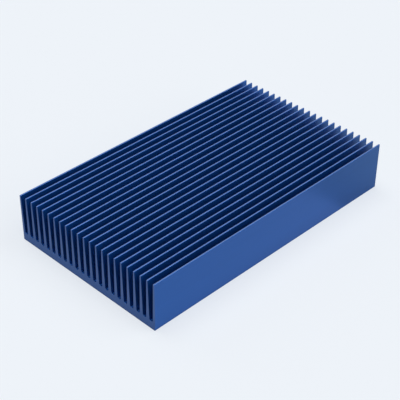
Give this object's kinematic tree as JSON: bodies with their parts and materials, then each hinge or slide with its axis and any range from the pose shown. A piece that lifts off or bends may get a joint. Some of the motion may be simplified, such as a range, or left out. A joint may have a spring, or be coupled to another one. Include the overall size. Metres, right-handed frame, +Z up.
{
  "type": "extruded heat sink",
  "caption": "Extruded aluminium heat sink: a flat rectangular base with a comb of thin tapered fins along its length, to shed heat from a device held against its underside.",
  "frame": {"origin": "centre of the flat underside", "axes": "+X across the fins, +Y along the fins, +Z up from the underside to the fin tips"},
  "size_m": [0.0888, 0.15, 0.025],
  "materials": {
    "blue_anodised_aluminium": "satin blue anodised, with fine die lines along the fins and sawn ends"
  },
  "bodies": {
    "root": {"heat_sink": "blue_anodised_aluminium"}
  },
  "joints": []
}
